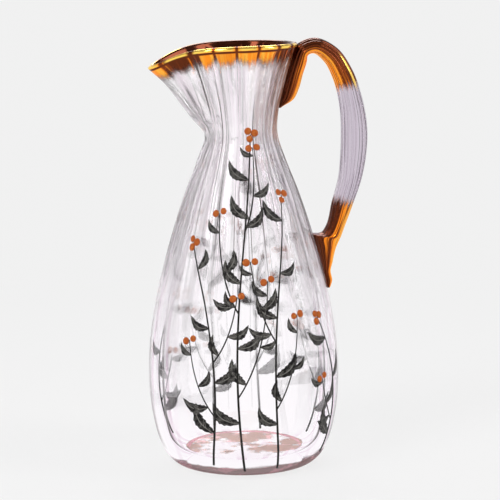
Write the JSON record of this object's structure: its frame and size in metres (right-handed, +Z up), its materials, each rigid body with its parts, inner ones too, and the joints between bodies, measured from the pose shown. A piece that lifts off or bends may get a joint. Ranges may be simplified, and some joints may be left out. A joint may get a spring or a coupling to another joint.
{
  "type": "glass jug",
  "caption": "Tall blown glass jug: ribbed, waisted body with a drawn-out pouring spout and an applied, reeded loop handle.",
  "frame": {"origin": "middle of the ring that the jug stands on, in the plane of the table", "axes": "+Z up, spout along -X, handle on +X"},
  "size_m": [0.1426, 0.1218, 0.2722],
  "materials": {
    "body_glass": "clear glass with a faint lilac tint, polished; fired gold round the lip",
    "handle_glass": "clear glass, polished; fired gold at both ends that fades out along the grip"
  },
  "bodies": {
    "root": {"body": "body_glass", "handle": "handle_glass"}
  },
  "joints": []
}
